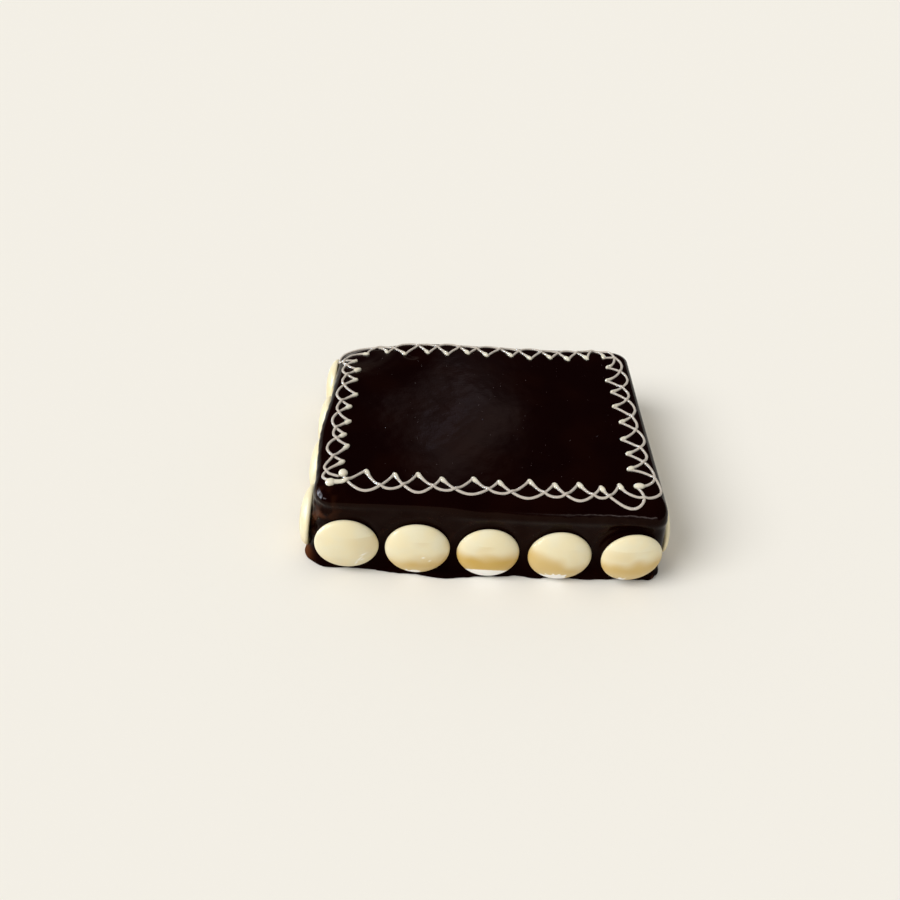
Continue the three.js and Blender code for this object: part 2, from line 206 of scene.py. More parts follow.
# Soft patches of light that the glaze mirrors: direction, how many times as wide as high, reach,
# strength and colour.
MIRRORED_PATCHES = [
    ((0.014, 0.775, 0.632), 0.2, 0.013, 1.6, (0.9, 1.05, 1.6)),
    ((0.035, 0.79, 0.612), 0.4, 0.025, 0.5, (0.9, 1.1, 1.5)),
    ((0.055, 0.77, 0.636), 0.5, 0.11, 0.95, (1.0, 0.88, 0.88)),
    ((-0.13, 0.92, 0.36), 1, 0.16, 0.75, (1.0, 0.82, 0.65)),
    ((-0.97, 0.04, 0.2), 1, 0.36, 70.0, (1.0, 1.4, 1.9)),
    ((-0.8, -0.45, 0.38), 1, 0.15, 30.0, (1.0, 1.4, 1.9)),
    ((0.3, -0.95, 0.07), 3, 0.2, 14.0, (1.0, 1.2, 1.5)),
]
FLOOR_HALF = 4000


# ---- Helpers -------------------------------------------------------------------------------


def smoothstep(value, low, high):
    """0 below low, 1 above high, smooth between."""
    t = np.clip((value - low) / (high - low), 0, 1)
    return t * t * (3 - 2 * t)


def hump(t):
    """1 at 0, fading smoothly on both sides over a distance of about 1."""
    return np.exp(-(t**2))


def near_spot(x, y, spot):
    """1 in the middle of a spot, fading over its reaches along X and Y."""
    middle_x, reach_x, middle_y, reach_y = spot
    return np.exp(-(((x - middle_x) / reach_x) ** 2) - ((y - middle_y) / reach_y) ** 2)


def lerp(a, b, t):
    """A value between two others."""
    return a + (b - a) * t


def noise_at(x, y, z, size, seed):
    """Smooth noise between about -1 and 1 at many places, its lumps about size across."""
    x, y, z = np.broadcast_arrays(x, y, z)
    flat = zip(x.ravel() / size, y.ravel() / size, z.ravel() / size)
    made = [noise.noise(Vector((a + seed, b - seed, c + 2 * seed))) for a, b, c in flat]
    return np.array(made).reshape(x.shape)


def new_piece(name, points, faces, replaced, material):
    """A smooth mesh object from points in millimetres that rides on the cake."""
    mesh = bpy.data.meshes.new(name)
    mesh.from_pydata((np.asarray(points) * MM).tolist(), [], faces)
    mesh.validate()
    mesh.polygons.foreach_set("use_smooth", [True] * len(mesh.polygons))
    mesh.update()
    mesh.materials.append(material)
    piece = bpy.data.objects.new(name, mesh)
    bpy.context.scene.collection.objects.link(piece)
    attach(piece, BODY)
    if replaced:
        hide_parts(*replaced)
    return piece


def give_attribute(piece, name, values):
    """One number for each vertex, for the materials to read."""
    attribute = piece.data.attributes.new(name, "FLOAT", "POINT")
    attribute.data.foreach_set("value", np.asarray(values, float).ravel())


def band_faces(rows, count):
    """Faces between closed rings of count points each."""
    faces = []
    for row in range(rows - 1):
        for i in range(count):
            j = (i + 1) % count
            a, b = row * count + i, row * count + j
            faces.append((a, b, b + count, a + count))
    return faces


# ---- Camera --------------------------------------------------------------------------------


def make_camera():
    """The camera at the photograph's viewing angle."""
    down, right, roll = (math.radians(v) for v in (CAMERA_DOWN, CAMERA_RIGHT, CAMERA_ROLL))
    level = Vector((math.cos(right), -math.sin(right), 0))
    ahead = Vector((math.sin(right), math.cos(right), 0))
    forward = ahead * math.cos(down) - Vector((0, 0, math.sin(down)))
    upright = level.cross(forward)
    across = level * math.cos(roll) + upright * math.sin(roll)
    above = upright * math.cos(roll) - level * math.sin(roll)
    data = bpy.data.cameras.new("camera")
    data.sensor_width = SENSOR_WIDTH
    data.lens = FOCAL_LENGTH
    data.clip_start, data.clip_end = 0.01, 50
    camera = bpy.data.objects.new("camera", data)
    turn = Matrix((across, above, -forward)).transposed()
    camera.matrix_world = Matrix.Translation(Vector(CAMERA_PLACE) * MM) @ turn.to_4x4()
    bpy.context.scene.collection.objects.link(camera)
    bpy.context.scene.camera = camera


# ---- Form of the glaze ---------------------------------------------------------------------


def swell(x, y):
    """How far the thick glaze pushes the left of the top edge outwards, along X."""
    along = hump((y - SWELL_Y) / SWELL_REACH)
    return -SWELL_OUT * along * (1 - smoothstep(x, -85, -60))


def sag_share(x, y):
    """How near a place is to the drooping corner, between 0 and 1."""
    return hump(np.hypot(x - SAG_X, y - SAG_Y) / SAG_REACH)


def relief(x, y, z):
    """How far a place at that height of an even cake is raised or lowered."""
    level = -TOP_FALL * x / CAKE_WIDTH + TOP_RISE * y / CAKE_DEPTH
    waves = np.sin(x / 17 + 0.6) * np.cos(y / 23 - 0.4)
    upper = smoothstep(z, LEVEL_TO, CAKE_HEIGHT)
    return (level - SAG_DEPTH * sag_share(x, y) + RIPPLE * waves) * upper


def corner_radius(x):
    """Radius of the upright corner nearest to a place."""
    return np.where(np.asarray(x) < 0, CORNER_LEFT, CORNER_RIGHT)


def inset_at(x, y):
    """Distance from the foot's outline in to a place, over nested rounded rectangles."""
    radius = corner_radius(x)
    qx = np.abs(x) - CAKE_WIDTH / 2 + radius
    qy = np.abs(y) - CAKE_DEPTH / 2 + radius
    straight = radius - np.maximum(qx, qy)
    total = qx + qy
    under_root = np.maximum(total**2 - 2 * (qx**2 + qy**2 - radius**2), 0)
    round_corner = (np.sqrt(under_root) - total) / 2
    return np.where(np.minimum(qx, qy) + straight <= 0, straight, round_corner)


def glaze_height(x, y):
    """Height of the glaze over a place on the shoulder or the top."""
    inset = inset_at(x - swell(x, y), y) - SIDE_LEAN
    across = np.clip(1 - inset / SHOULDER, 0, 1)
    even = CAKE_HEIGHT - SHOULDER * (1 - np.sqrt(1 - across**2))
    return even + relief(x, y, even)


def side_inset(z):
    """How far the side leans in at a height."""
    return SIDE_LEAN * (z - FOOT_HEIGHT) / (CAKE_HEIGHT - SHOULDER - FOOT_HEIGHT)


def ring_outline(inset):
    """Points and outward directions of one closed ring round the cake."""
    corner_steps, side_steps = 24, (150, 190)
    signs = ((1, -1), (1, 1), (-1, 1), (-1, -1))

    def on_corner(quarter, angle):
        """Point and outward direction on a rounded corner."""
        sx, sy = signs[quarter % 4]
        radius = min(float(corner_radius(sx)), CAKE_DEPTH / 2 - inset)
        middle = (sx * (CAKE_WIDTH / 2 - inset - radius), sy * (CAKE_DEPTH / 2 - inset - radius))
        direction = np.array([math.cos(angle), math.sin(angle)])
        return np.array(middle) + radius * direction, direction

    points, outward = [], []
    for quarter in range(4):
        for i in range(corner_steps):
            point, direction = on_corner(quarter, (quarter - 1 + i / corner_steps) * math.pi / 2)
            points.append(point)
            outward.append(direction)
        start, direction = on_corner(quarter, quarter * math.pi / 2)
        end = on_corner(quarter + 1, quarter * math.pi / 2)[0]
        steps = side_steps[quarter % 2]
        for i in range(steps):
            points.append(lerp(start, end, i / steps))
            outward.append(direction)
    return np.array(points), np.array(outward)


def glaze_rings():
    """Inset, height and tilt of the surface for each ring from the foot to the middle of the top."""
    side_rings, shoulder_rings, top_rings = 44, 20, 45
    shoulder_foot, top_edge = CAKE_HEIGHT - SHOULDER, SIDE_LEAN + SHOULDER
    rings = [(FOOT_TUCK, 0.0, 0.0), (FOOT_TUCK * 0.45, 0.25, 0.0), (FOOT_TUCK * 0.12, 0.8, 0.0)]
    for z in np.linspace(FOOT_HEIGHT, shoulder_foot, side_rings):
        rings.append((side_inset(z), z, LEAN_ANGLE))
    for angle in np.linspace(0, math.pi / 2, shoulder_rings + 1)[1:]:
        inset = SIDE_LEAN + SHOULDER * (1 - math.cos(angle))
        rings.append((inset, shoulder_foot + SHOULDER * math.sin(angle), max(angle, LEAN_ANGLE)))
    for inset in np.linspace(top_edge, CAKE_DEPTH / 2, top_rings + 1)[1:]:
        rings.append((inset, CAKE_HEIGHT, math.pi / 2))
    return rings


def front_share(y):
    """1 over the front side, 0 away from it."""
    return smoothstep(-y, FRONT_FROM, FRONT_FULL)


def side_relief(x, y, z):
    """Broad waves of the sides, the lumps of the left front corner and edge, and small pits."""
    waves = 0.16 * noise_at(x, y, z, 19, 3.1) + 0.07 * noise_at(x, y, z, 8, 7.7)
    corner = near_spot(x, y, LUMPY_CORNER) * smoothstep(z, 10, 18)
    left_edge = 0.35 * (1 - smoothstep(x, -88, -80)) * smoothstep(z, 26, 34)
    lumpy = np.maximum(corner, left_edge) * (1 - smoothstep(z, TOP_FROM, TOP_FULL))
    lumps = 0.8 * noise_at(x, y, z, 5, 1.3) + 0.5 * noise_at(x, y, z, 2.6, 8.3)
    pitted = smoothstep(x, 25, 45) * smoothstep(z, 37, 39.5) * (1 - smoothstep(z, 43, 45))
    pits = 0.05 * noise_at(x, y, z, 2.4, 6.6)
    return (1 - smoothstep(z, 38, 44)) * waves + lumpy * lumps + pitted * pits


def brow_relief(x, y, z):
    """The fold under the top edge of the front: it stands out on the right, and in on the left."""
    out = BROW_OUT * smoothstep(x, -32, -4) - BROW_IN * (1 - smoothstep(x, -78, -45))
    return out * hump((z - BROW_HEIGHT) / BROW_REACH) * front_share(y)


def foot_relief(x, y, z):
    """The foot: a bead all round, thin run-outs at the front, a pool left and a tucked right end."""
    bead = hump((z - BEAD_HEIGHT) / BEAD_REACH) * (0.3 + 0.35 * noise_at(x, y, z * 0, 9, 5.5))
    run_out = sum(width * hump((x - middle) / reach) for middle, reach, width in RUN_OUTS)
    run_out = (run_out + 0.4 * noise_at(x, y, z * 0, 4, 2.9)) * (1 - smoothstep(z, 0.7, 3))
    pool = POOL_WIDTH * near_spot(x, y, FOOT_POOL) * hump(z / 6)
    tucked = RIGHT_TUCK * smoothstep(x, 83, 88) * (1 - smoothstep(z, 0, 32))
    return bead + run_out * front_share(y) + pool - tucked


def top_relief(x, y, z):
    """Faint waves of the top, and one small dimple in it."""
    waves = 0.04 * noise_at(x, y, z, 14, 2.2) + 0.025 * noise_at(x, y, z, 4, 4.4)
    return smoothstep(z, TOP_FROM, TOP_FULL) * (waves - DIMPLE_DEPTH * near_spot(x, y, DIMPLE))


def fine_relief(x, y, z):
    """How far the glaze stands out from its plain form, along its own direction."""
    return sum(part(x, y, z) for part in (side_relief, brow_relief, foot_relief, top_relief))


def press_buttons(points):
    """Draws the glaze to the backs of the buttons, with a moat and a lip round each."""
    lip = np.zeros(len(points))
    for name in BUTTON_NAMES:
        middle, (across, upright, normal), (half_wide, half_tall), _ = button_place(name)
        off = points - np.array(middle)
        a, b = off @ np.array(across) / half_wide, off @ np.array(upright) / half_tall
        gap = -(off @ np.array(normal))
        here = (np.abs(gap) < 6) & (np.hypot(a, b) < 1.6)
        pad = (gap - PAD_GAP) * (1 - smoothstep(np.hypot(a, b), PAD_FULL, PAD_END))
        shift_a, shift_b, depth = MOATS.get(name, PLAIN_MOAT)
        beside = np.hypot(a - shift_a, b - shift_b)
        moat = depth * hump((beside - MOAT_RING) / RING_REACH)
        rim = depth * hump((beside - RIM_RING) / RING_REACH)
        out = np.where(here, pad - moat + 0.5 * rim, 0)
        points = points + out[:, None] * np.array(normal)
        lip = np.maximum(lip, np.where(here, rim * smoothstep(b - a, 0.2, 1), 0))
    return points, lip


def brown_patches(points, lip):
    """Where the glaze is painted brown, between 0 and 1: in patches, on button lips and a foot pool.
    """
    x, y, z = points.T
    patches = smoothstep(noise_at(x, y, z, 4.5, 6.1), -0.05, 0.3)
    corner = near_spot(x, y, BROWN_CORNER) * smoothstep(z, 16, 30)
    pool = near_spot(x, y, BROWN_POOL) * (1 - smoothstep(z, 5, 11))
    foot = near_spot(x, y, BROWN_FOOT) * (1 - smoothstep(z, 3, 6))
    return np.clip((0.5 * corner + 0.6 * foot + 0.4 * lip) * patches + 0.8 * pool, 0, 1)


def glaze_sheen(points):
    """How strongly the glaze mirrors: little near the foot and at the ends, most on the top."""
    x, y, z = points.T
    sheen = 0.03 + 0.72 * smoothstep(z, 5, 33) + 0.25 * smoothstep(z, 36, 43)
    ends = smoothstep(np.abs(x), 80, 84) * smoothstep(y, -64, -52)
    sheen *= (1 - 0.85 * ends) * (1 - 0.25 * smoothstep(x, 50, 80))
    mottled = 0.35 * noise_at(x, y, z, 12, 5.2) + 0.25 * noise_at(x, y, z, 5, 9.4)
    return sheen * (1 + mottled * (1 - smoothstep(z, 38, 42)))


def glaze_points():
    """Points of the glaze ring by ring, the lip at each, and the number of points in a ring."""
    rings = glaze_rings()
    outlines = [ring_outline(inset) for inset, z, tilt in rings]
    flat = np.array([points for points, outward in outlines])
    out = np.array([outward for points, outward in outlines])
    x, y = flat[..., 0], flat[..., 1]
    z = np.array([z for inset, z, tilt in rings])[:, None] + 0 * x
    tilt = np.array([tilt for inset, z, tilt in rings])[:, None]
    fine = fine_relief(x, y, z)
    swollen = smoothstep(z, STRAIGHT_TO, CAKE_HEIGHT - SHOULDER * 0.6)
    px = x + swell(x, y) * swollen + fine * np.cos(tilt) * out[..., 0]
    py = y + fine * np.cos(tilt) * out[..., 1]
    pz = z + relief(x, y, z) + fine * np.sin(tilt)
    points, lip = press_buttons(np.stack([px, py, pz], axis=-1).reshape(-1, 3))
    count = x.shape[1]
    points[:count, 2] = 0
    points[:, 2] = np.maximum(points[:, 2], 0)
    return points, lip, count


def weld_doubles(piece):
    """Joins the points that lie on each other."""
    distance = 1e-6
    work = bmesh.new()
    work.from_mesh(piece.data)
    bmesh.ops.remove_doubles(work, verts=work.verts, dist=distance)
    bmesh.ops.dissolve_degenerate(work, edges=work.edges, dist=distance)
    bmesh.ops.recalc_face_normals(work, faces=work.faces)
    work.to_mesh(piece.data)
    work.free()


def make_glaze(material):
    """The glazed cake as one closed fine mesh."""
    points, lip, count = glaze_points()
    thin = brown_patches(points, lip)
    centre = len(points)
    faces = band_faces(centre // count, count)
    faces += [((i + 1) % count, i, centre) for i in range(count)]
    points = np.vstack([points, [(0, 0, 0)]])
    piece = new_piece("glaze", points, faces, ["glazed_cake"], material)
    # Where the glaze is painted brown.
    give_attribute(piece, "thin", [*thin, 0])
    give_attribute(piece, "sheen", glaze_sheen(points))
    weld_doubles(piece)


# ---- Piped icing ---------------------------------------------------------------------------


def stray(k, seed):
    """A steady stray between -1 and 1 for the point or arc numbered k."""
    return math.sin(k * 2.8 + seed) * math.cos(k * 2.4 - seed)


def point_at(k):
    """Place, side and facing of the point numbered k from 1."""
    side, along = POINT_PLACES[k - 1]
    inset = POINT_INSETS[side] + (k % 2) * STRAND_APART - UNEVEN * stray(k, 2.25) + TIP_ROUNDING
    turn = side * math.pi / 2
    long_half, cross_half = CAKE_WIDTH / 2, CAKE_DEPTH / 2
    if side % 2:
        long_half, cross_half = cross_half, long_half

    def place_at(far):
        """The place that far out from the middle, on this side."""
        x = along * math.cos(turn) + far * math.sin(turn)
        return np.array([x, along * math.sin(turn) - far * math.cos(turn)])

    level = cross_half - inset
    to_corner = long_half - abs(along) - inset
    cornered = min(max(1 - to_corner / CORNER_NEAR, 0), 1) / 2
    facing = turn + math.copysign(cornered, along) * math.pi / 2 - math.pi / 2
    return place_at(level + SLIDE * float(sag_share(*place_at(level)))), side, facing


def reach_to(inset, place, direction):
    """How far a place lies from the ring of that inset, in a direction."""
    near, far = 0.0, float(CAKE_WIDTH)
    for _ in range(24):
        middle = (near + far) / 2
        if inset_at(*(place + direction * middle)) > inset:
            near = middle
        else:
            far = middle
    return near


def arc_path(k, start, end):
    """The middle line of the arc between two points, numbered by its first one."""
    (at_start, side_start, facing_start), (at_end, side_end, facing_end) = start, end
    round_corner = side_start != side_end
    apart = (k % 2) * STRAND_APART - (CORNER_REACH if round_corner else 0)
    fullness = CORNER_FULLNESS if round_corner else ARC_FULLNESS
    inset = (ARC_INSETS[side_start] + ARC_INSETS[side_end]) / 2 + apart + 0.5 * UNEVEN * stray(k, 3)

    def facing_at(share):
        """The direction in which the arc bulges at a share of its way."""
        angle = lerp(facing_start, facing_end, share**TURN_EARLY)
        return np.array([math.cos(angle), math.sin(angle)])

    depth = reach_to(inset, lerp(at_start, at_end, 0.5), facing_at(0.5))
    points = []
    for i in range(ARC_STEPS + 1):
        t = i / ARC_STEPS
        share = 0.5 - 0.5 * math.cos(math.pi * t) * (1 - 0.2 * math.sin(math.pi * t))
        bump = max(math.sin(math.pi * share), 0) ** fullness
        points.append(lerp(at_start, at_end, share) + facing_at(share) * depth * bump)
    return points


def strand_line(strand):
    """The middle line of strand 0 or 1, and how far along it the numbered points lie."""
    last = len(POINT_PLACES) - strand
    if strand:
        line = [np.array(place) for place in (START_BAR, *START_RUN, point_at(1)[0])]
    else:
        line = arc_path(0, (np.array(START_BALL), *point_at(1)[1:]), point_at(2))
    marks = {}
    for k in range(2 - strand, last, 2):
        marks[k] = len(line) - 1
        line += arc_path(k, point_at(k), point_at(k + 2))[1:]
    marks[last] = len(line) - 1
    line += [np.array(place) for place in (INNER_END if strand else OUTER_END)]
    at = lengths_along(line)
    return np.array(line), {k: at[index] for k, index in marks.items()}


def lengths_along(points):
    """How far along a line each of its points lies."""
    return np.concatenate([[0], np.cumsum(np.hypot(*np.diff(points, axis=0).T))])


def resample(points):
    """Points spaced evenly along a line, and how far along it they lie."""
    keep = np.concatenate([[True], np.hypot(*np.diff(points, axis=0).T) > 1e-6])
    points = points[keep]
    length = lengths_along(points)
    at = np.linspace(0, length[-1], int(round(length[-1] / SPACING)) + 1)
    return np.stack([np.interp(at, length, points[:, i]) for i in range(2)], axis=1), at


def soften(points):
    """An evenly spaced line with its turns rounded off, its ends kept."""
    half = int(3 * SOFTEN_REACH / SPACING)
    kernel = hump(np.arange(-half, half + 1) * SPACING / SOFTEN_REACH)
    kernel /= kernel.sum()
    padded = np.vstack([np.repeat(points[:1], half, 0), points, np.repeat(points[-1:], half, 0)])
    smooth = np.stack([np.convolve(padded[:, i], kernel, "valid") for i in range(2)], axis=1)
    smooth[0], smooth[-1] = points[0], points[-1]
    return smooth


def upward(x, y):
    """The direction in which the glaze faces at places on the shoulder or the top."""
    d = 0.3
    slope_x = (glaze_height(x + d, y) - glaze_height(x - d, y)) / (2 * d)
    slope_y = (glaze_height(x, y + d) - glaze_height(x, y - d)) / (2 * d)
    up = np.stack([-slope_x, -slope_y, np.ones_like(slope_x)], axis=-1)
    return up / np.linalg.norm(up, axis=-1, keepdims=True)


def ends_rounded(at, radius):
    """Share of the radius near both ends of a strand, so that they close as round tips."""
    to_end = np.minimum(at, at[-1] - at)
    share = np.clip(to_end / radius, 0, 1)
    return np.maximum(np.sqrt(1 - (1 - share) ** 2), 0.05)


def strand_radii(strand, at, marks):
    """The radius along a strand, which is thicker round its points and closes at its ends."""
    radii = np.full(len(at), STRAND_RADIUS)
    for place in marks.values():
        reach = np.where(at < place, EXTRA_BEFORE, EXTRA_AFTER)
        radii += POINT_EXTRA * hump((at - place) / reach)
    radii *= 1 + 0.05 * np.sin(at * 0.9 + strand) * np.sin(at * 0.37)
    if strand:
        radii += START_EXTRA * (1 - smoothstep(at, START_FROM, START_TO))
    return radii * ends_rounded(at, STRAND_RADIUS * 1.3)


def crossing_lift(path, laid):
    """How far a path is lifted where it crosses the strand that was laid before it, if any."""
    if laid is None:
        return np.zeros(len(path))
    nearest = np.array([np.min(np.hypot(*(laid - place).T)) for place in path])
    return CROSSING_LIFT * hump(nearest / CROSSING_REACH)


def strand_rings(path, radii, lift):
    """Rings of points round a strand that lies on the glaze along a path."""
    x, y = path[:, 0], path[:, 1]
    centre = np.stack([x, y, glaze_height(x, y) + lift], axis=1)
    along = np.gradient(centre, axis=0)
    along /= np.linalg.norm(along, axis=1, keepdims=True) + 1e-12
    up = upward(x, y)
    across = np.cross(along, up)
    across /= np.linalg.norm(across, axis=1, keepdims=True) + 1e-12
    rings = []
    for i in range(STRAND_SIDES):
        angle = 2 * math.pi * i / STRAND_SIDES
        sideways = math.cos(angle) * radii
        section = np.maximum(math.sin(angle) * SECTION_TALL + SECTION_RAISED, SECTION_UNDERSIDE)
        rings.append(centre + across * sideways[:, None] + up * (section * radii)[:, None])
    return np.stack(rings, axis=1)


def point_drop(k, path, tip):
    """Place, direction, length and radius of the drop just past a numbered point of a strand."""
    after = path[min(tip + 10, len(path) - 1)] - path[tip]
    lead = after / np.linalg.norm(after)
    radius = BIG_DROPS.get(k, DROP_RADIUS * (1 + 0.12 * stray(k, 5)))
    return path[tip] + lead * DROP_LEAD, lead, radius * DROP_LENGTH, radius


def drop_rings(place, direction, length, radius):
    """Rings of points of a drop that lies on the glaze, longer along its direction."""
    up = upward(*place)
    across = np.cross(np.array([*direction, 0]), up)
    across /= np.linalg.norm(across)
    along = np.cross(up, across)
    middle = np.array([*place, float(glaze_height(*place))]) + up * 0.2 * radius
    fall = (math.pi * (np.arange(DROP_ROWS) + 0.5) / DROP_ROWS)[:, None, None]
    turn = (2 * math.pi * np.arange(DROP_SIDES) / DROP_SIDES)[:, None]
    flat = along * length * np.cos(turn) + across * radius * np.sin(turn)
    return middle + flat * np.sin(fall) - up * 0.85 * radius * np.cos(fall)


def add_rings(points, faces, rings):
    """Adds one closed form to the lists, from its rings of points."""
    rows, count = rings.shape[:2]
    start = len(points)
    last = start + (rows - 1) * count
    points.extend(rings.reshape(-1, 3).tolist())
    faces.extend(tuple(start + v for v in face) for face in band_faces(rows, count))
    faces.append(tuple(start + i for i in reversed(range(count))))
    faces.append(tuple(last + i for i in range(count)))


def make_icing(material):
    """Both strands, their drops, and the start and end in the front left corner."""
    points, faces, thickness, drops = [], [], [], []
    laid = None
    for strand, start_drop in enumerate(START_DROPS):
        line, marks = strand_line(strand)
        path, at = resample(line)
        path = soften(path)
        radii = strand_radii(strand, at, marks)
        add_rings(points, faces, strand_rings(path, radii, crossing_lift(path, laid)))
        thickness += np.repeat(radii, STRAND_SIDES).tolist()
        drops += [point_drop(k, path, int(np.argmin(np.abs(at - marks[k])))) for k in marks]
        drops.append(start_drop)
        laid = path
    for drop in drops:
        add_rings(points, faces, drop_rings(*drop))
        thickness += [drop[-1]] * (DROP_ROWS * DROP_SIDES)
    piece = new_piece("icing", points, faces, ["glazed_cake"], material)
    give_attribute(piece, "thick", thickness)


# ---- Buttons -------------------------------------------------------------------------------


def button_place(name):
    """Middle of a button's flat back, its directions, half sizes and thickness, from its solid."""
    outward = FACINGS[name.split("_")[1]]
    up = Vector((0, 0, 1))
    outward = Matrix.Rotation(TURNED.get(name, 0), 3, "Z") @ outward
    normal = outward * math.cos(LEAN_ANGLE) + up * math.sin(LEAN_ANGLE)
    upright = up * math.cos(LEAN_ANGLE) - outward * math.sin(LEAN_ANGLE)
    across = upright.cross(normal)
    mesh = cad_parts[name].data
    points = np.empty(len(mesh.vertices) * 3)
    mesh.vertices.foreach_get("co", points)
    points = points.reshape(-1, 3) / MM
    spans = [points @ np.array(direction) for direction in (across, upright, normal)]
    middle = across * (spans[0].min() + spans[0].max()) / 2
    middle = middle + upright * (spans[1].min() + spans[1].max()) / 2 + normal * spans[2].min()
    half = [(span.max() - span.min()) / 2 for span in spans[:2]]
    thickness = spans[2].max() - spans[2].min()
    return middle, (across, upright, normal), half, thickness


def button_profile(steps):
    """Radius share and height from the middle of the crown, over the edge, to the back."""
    profile = []
    for angle in np.linspace(0, math.pi / 2, steps)[1:]:
        share = math.sin(angle)
        dome = max(1 - share**2.2, 0) ** (1 / 1.8)
        profile.append((share, BUTTON_BELLY + (BUTTON_CROWN - BUTTON_BELLY) * dome))
    for angle in np.linspace(0, math.pi / 2, 5)[1:]:
        profile.append((1 - 0.05 * (1 - math.cos(angle)), BUTTON_BELLY * (1 - math.sin(angle))))
    profile += [(0.8, 0), (0.4, 0)]
    return profile


def button_noise(a, b, c, size, seed):
    """Noise over a button, at shares of its half sizes and a height."""
    return noise_at(a * SHARE_SIZE, b * SHARE_SIZE, c, size, seed)


def button_form(name, seed):
    """Points of a button, as shares of its half sizes and a height, and its faces."""
    steps, around = FRONT_MESH if "front" in name else OTHER_MESH
    profile = button_profile(steps)
    shares = np.array([share for share, height in profile])[:, None]
    heights = np.array([height for share, height in profile])[:, None]
    angle = np.linspace(0, 2 * math.pi, around, endpoint=False)[None, :]
    uneven = 1 + 0.006 * np.sin(2 * angle + seed) + 0.004 * np.sin(3 * angle - 2 * seed)
    a = shares * uneven * np.cos(angle)
    b = shares * uneven * np.sin(angle)
    tops = heights + (heights > BUTTON_BELLY) * 0.12 * button_noise(a, b, a * 0, 11, seed * 3.7)
    rings = np.stack([a, b, tops], axis=-1).reshape(-1, 3).tolist()
    points = [(0, 0, BUTTON_CROWN), *rings, (0, 0, 0)]
    last = 1 + (len(profile) - 1) * around
    faces = [(0, 1 + i, 1 + (i + 1) % around) for i in range(around)]
    faces += [tuple(1 + v for v in reversed(face)) for face in band_faces(len(profile), around)]
    faces += [(last + (i + 1) % around, last + i, last + around) for i in range(around)]
    return points, faces


def painted_warm_shade_share(name, seed, a, b, c):
    """Share of painted warm shade at places on a button, between 0 and 1: its lower part and faint
    patches.
    """
    wobble = button_noise(a, b, c, 7, seed * 2.3)
    guessed = (-0.25 - 0.25 * math.sin(seed * 2.1), 0.2 * math.sin(seed), 0.7)
    level, slope, strength = PAINTED_WARM_SHADE.get(name, guessed)
    edge = level + slope * a + 0.14 * wobble
    painted_warm_shade = (1 - smoothstep(b, edge - 0.38, edge + 0.26)) * (1 - 0.2 * smoothstep(-b, 0.35, 0.7))
    cream = 0.2 * smoothstep(button_noise(a, b, c, 12, seed * 5.1), -0.1, 0.5) * (b < 0.5)
    return np.maximum(strength * painted_warm_shade * (0.93 + 0.07 * wobble), cream)


def painted_highlight_share(name, a, b, c):
    """Share of painted white on a button, between 0 and 1: a painted highlight on its foot and
    glints on its scratches.
    """
    foot, foot_middle, foot_half = PAINTED_FOOT_HIGHLIGHTS.get(name, NO_FOOT_HIGHLIGHT)
    ragged = button_noise(a, b, c, 1.3, 4.2)
    seen_low = FOOT_SIGHT * c - b + (0.06 if foot_half < 0.5 else 0.01) * ragged
    white = smoothstep(seen_low, -foot - 0.015, -foot + 0.015)
    white *= smoothstep(foot_half + 0.08 * ragged - np.abs(a - foot_middle), -0.04, 0.04)
    for place, (lead_a, lead_b), length in SCRATCH_GLINTS.get(name, []):
        off_a, off_b = a - place[0], b - place[1]
        along, aside = off_a * lead_a + off_b * lead_b, off_a * lead_b - off_b * lead_a
        stroke = hump(along / length) * hump(aside / SCRATCH_WIDTH) * (0.8 + 0.5 * ragged)
        white = np.maximum(white, stroke)
    return np.clip(white, 0, 1)


def make_button(name, seed, material):
    """One smooth, slightly uneven button in the place of its solid."""
    middle, (across, upright, normal), (half_wide, half_tall), thickness = button_place(name)
    tall = thickness / BUTTON_CROWN
    form, faces = button_form(name, seed)
    points = []
    for a, b, c in form:
        flat = middle + across * a * half_wide + upright * b * half_tall
        points.append(tuple(flat + normal * c * tall))
    piece = new_piece(f"smooth_{name}", points, faces, [name], material)
    a, b, c = np.array(form).T
    # Painted warm shade, for the material to read.
    give_attribute(piece, "painted_warm_shade", painted_warm_shade_share(name, seed, a, b, c))
    # Painted highlight on the foot and painted glints on the scratches, for the material to read.
    give_attribute(piece, "white", painted_highlight_share(name, a, b, c))


def make_specks(material):
    """Tiny grains and air bubbles that have set in the top of the glaze."""
    draw = random.Random(11)
    points, faces = [], []
    for _ in range(SPECK_COUNT):
        x, y = draw.uniform(*SPECKS_X), draw.uniform(*SPECKS_Y)
        size = 0.13 + 0.14 * draw.random() ** 2
        z = float(glaze_height(x, y))
        start = len(points)
        for i in range(SPECK_SIDES):
            turn = i * 2 * math.pi / SPECK_SIDES + size
            points.append((x + size * math.cos(turn), y + size * math.sin(turn), z - 0.1))
        points += [(x, y, z + 0.6 * size), (x, y, z - 0.3)]
        above, below = start + SPECK_SIDES, start + SPECK_SIDES + 1
        for i in range(SPECK_SIDES):
            j = (i + 1) % SPECK_SIDES
            faces += [(start + i, start + j, above), (start + j, start + i, below)]
    new_piece("specks", points, faces, [], material)


# ---- Materials -----------------------------------------------------------------------------


def new_material(name):
    """A material, its nodes and its shader."""
    material = bpy.data.materials.new(name)
    material.use_nodes = True
    shader = material.node_tree.nodes["Principled BSDF"]
    return material, material.node_tree, shader


def add_node(tree, kind, **settings):
    """A node with some of its properties set."""
    node = tree.nodes.new(f"ShaderNode{kind}")
    for key, value in settings.items():
        setattr(node, key, value)
    return node


def attribute(tree, name):
    """The number that a piece carries under that name."""
    return add_node(tree, "Attribute", attribute_name=name).outputs["Fac"]


